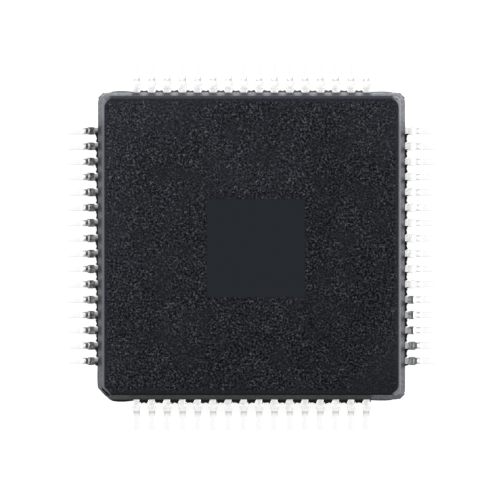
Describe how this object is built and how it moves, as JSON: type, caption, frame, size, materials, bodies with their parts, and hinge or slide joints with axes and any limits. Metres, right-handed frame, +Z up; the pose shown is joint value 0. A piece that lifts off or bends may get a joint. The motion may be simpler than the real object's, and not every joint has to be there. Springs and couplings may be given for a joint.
{
  "type": "microcontroller chip",
  "caption": "Square low-profile quad flat package: black moulded body on copper lead frame, tin gull-wing leads on every side, silicon die and gold wires inside.",
  "frame": {"origin": "middle of the plane that the feet stand on, under the middle of the body", "axes": "+X to the right in the picture, +Y to the back (up in the picture), +Z up, away from the board"},
  "size_m": [0.012, 0.012, 0.0015],
  "materials": {
    "mould_resin": "spark-textured, satin on the drafted sides",
    "tin_plate": "matte tin plate on copper alloy",
    "frame_copper": "stamped copper alloy, silver spot plated",
    "silver_adhesive": "cured silver-filled epoxy",
    "silicon": "polished silicon with aluminium bond pads",
    "gold_wire": "bright drawn gold wire"
  },
  "bodies": {
    "root": {"package_body": "mould_resin", "die_pad": "frame_copper", "die_attach": "silver_adhesive", "silicon_die": "silicon", "leads_left": "tin_plate", "leads_right": "tin_plate", "leads_front": "tin_plate", "leads_back": "tin_plate", "bond_wires_left": "gold_wire", "bond_wires_right": "gold_wire", "bond_wires_front": "gold_wire", "bond_wires_back": "gold_wire"}
  },
  "joints": []
}
